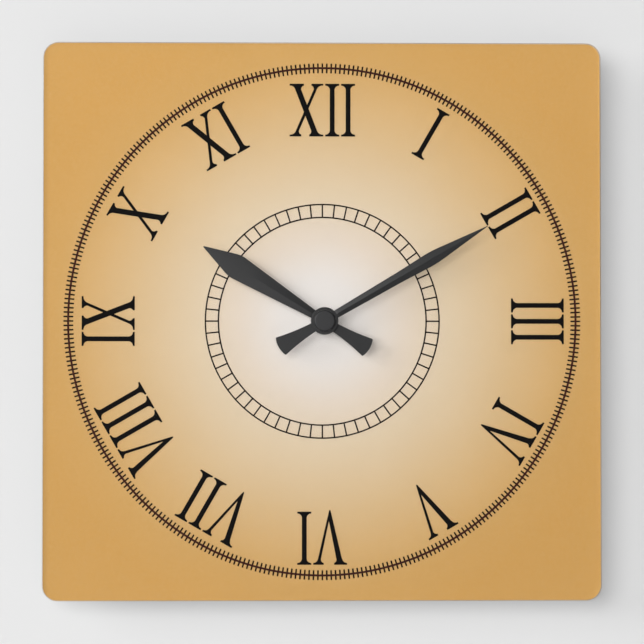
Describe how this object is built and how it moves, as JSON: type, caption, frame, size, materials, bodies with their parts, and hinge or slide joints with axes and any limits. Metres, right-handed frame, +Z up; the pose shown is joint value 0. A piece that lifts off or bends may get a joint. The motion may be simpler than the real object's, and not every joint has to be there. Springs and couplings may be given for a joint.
{
  "type": "wall clock",
  "caption": "Square wall clock: a clear acrylic dial plate with Roman numerals printed behind it, two hands, and a battery quartz movement with a keyhole hanger.",
  "frame": {"origin": "on the wall plane that the movement's rear rests on, on the hands' axis", "axes": "+Y points into the wall, out of the movement's flat rear face; the dial faces -Y; +Z is up, towards twelve; +X is to the right as the dial is read"},
  "size_m": [0.273, 0.0301, 0.273],
  "materials": {
    "clear_acrylic": "polished clear cast acrylic",
    "dial_ink": "printed background, pale at the centre and gold at the edge",
    "white_ink": "opaque white backing ink",
    "numeral_ink": "black printed ink",
    "track_ink": "brown-black printed ink",
    "hand_black": "satin charcoal paint on stamped aluminium",
    "cap_black": "satin charcoal moulded plastic",
    "black_plastic": "finely textured black ABS",
    "brass": "bright turned brass",
    "zinc_steel": "zinc-plated stamped steel",
    "rubber": "matt black rubber",
    "white_gear": "natural white acetal",
    "amber_gear": "amber acetal",
    "steel": "blanked electrical steel",
    "ferrite": "dark ground ferrite",
    "copper_wire": "enamelled copper wire",
    "coil_plastic": "natural moulded plastic",
    "board_green": "green solder mask on laminate",
    "epoxy": "black potting resin",
    "nickel": "nickel-plated spring strip",
    "battery_steel": "nickel-plated steel can",
    "battery_sleeve": "plain printed shrink sleeve"
  },
  "bodies": {
    "clock_case": {"acrylic_panel": "clear_acrylic", "background_print": "dial_ink", "white_backing": "white_ink", "hour_numerals": "numeral_ink", "minute_track": "track_ink", "inner_track": "track_ink", "rubber_washer": "rubber", "brass_washer": "brass", "hex_nut": "brass", "threaded_bushing": "brass", "wall_hanger": "zinc_steel", "front_case": "black_plastic", "rear_cover": "black_plastic", "train_bridge": "black_plastic", "stator": "steel", "coil_core": "steel", "coil_bobbin": "coil_plastic", "coil_winding": "copper_wire", "circuit_board": "board_green", "chip_cover": "epoxy", "quartz_crystal": "nickel", "negative_contact": "nickel", "positive_contact": "nickel"},
    "minute_hand_body": {"minute_hand": "hand_black", "centre_cap": "cap_black", "minute_arbor": "brass"},
    "hour_hand_body": {"hour_hand": "hand_black", "hour_hand_collar": "cap_black", "hour_wheel": "white_gear"},
    "minute_wheel_body": {"minute_wheel": "amber_gear"},
    "setting_body": {"setting_knob": "black_plastic", "setting_arbor": "white_gear"},
    "centre_wheel_body": {"centre_wheel": "white_gear"},
    "third_wheel_body": {"third_wheel": "amber_gear"},
    "seconds_wheel_body": {"seconds_wheel": "white_gear"},
    "fifth_wheel_body": {"fifth_wheel": "amber_gear"},
    "rotor_body": {"rotor_pinion": "white_gear", "rotor_magnet": "ferrite"},
    "battery_body": {"battery_can": "battery_steel", "battery_sleeve": "battery_sleeve"}
  },
  "joints": [
    {"name": "minute_hand_turn", "type": "hinge", "parent": "clock_case", "child": "minute_hand_body", "pos_m": [0, -0.02, 0], "axis": [0, 1, 0], "continuous": true},
    {"name": "hour_hand_turn", "type": "hinge", "parent": "clock_case", "child": "hour_hand_body", "pos_m": [0, -0.02, 0], "axis": [0, 1, 0], "continuous": true},
    {"name": "minute_wheel_turn", "type": "hinge", "parent": "clock_case", "child": "minute_wheel_body", "pos_m": [0.00797, -0.012, 0.00064], "axis": [0, 1, 0], "continuous": true},
    {"name": "setting_knob_turn", "type": "hinge", "parent": "clock_case", "child": "setting_body", "pos_m": [0.01497, -0.006, -0.00401], "axis": [0, 1, 0], "continuous": true},
    {"name": "seconds_wheel_turn", "type": "hinge", "parent": "clock_case", "child": "seconds_wheel_body", "pos_m": [0, -0.006, 0], "axis": [0, 1, 0], "continuous": true},
    {"name": "third_wheel_turn", "type": "hinge", "parent": "clock_case", "child": "third_wheel_body", "pos_m": [-0.00935, -0.008, 0.0054], "axis": [0, 1, 0], "continuous": true},
    {"name": "centre_wheel_turn", "type": "hinge", "parent": "clock_case", "child": "centre_wheel_body", "pos_m": [0, -0.0096, 0], "axis": [0, 1, 0], "continuous": true},
    {"name": "fifth_wheel_turn", "type": "hinge", "parent": "clock_case", "child": "fifth_wheel_body", "pos_m": [0.00712, -0.0067, 0.00445], "axis": [0, 1, 0], "continuous": true},
    {"name": "rotor_turn", "type": "hinge", "parent": "clock_case", "child": "rotor_body", "pos_m": [0.01319, -0.004, 0.00795], "axis": [0, 1, 0], "continuous": true},
    {"name": "battery_slide", "type": "slide", "parent": "clock_case", "child": "battery_body", "axis": [0, 1, 0], "range_m": [0, 0.02]}
  ],
  "couplings": [
    {"joint": "hour_hand_turn", "follows": "minute_hand_turn", "ratio": 0.083333},
    {"joint": "minute_wheel_turn", "follows": "minute_hand_turn", "ratio": -0.33333},
    {"joint": "setting_knob_turn", "follows": "minute_hand_turn", "ratio": 0.83333},
    {"joint": "fifth_wheel_turn", "follows": "seconds_wheel_turn", "ratio": -5},
    {"joint": "rotor_turn", "follows": "seconds_wheel_turn", "ratio": 30},
    {"joint": "third_wheel_turn", "follows": "seconds_wheel_turn", "ratio": -0.13333},
    {"joint": "centre_wheel_turn", "follows": "seconds_wheel_turn", "ratio": 0.016667}
  ]
}
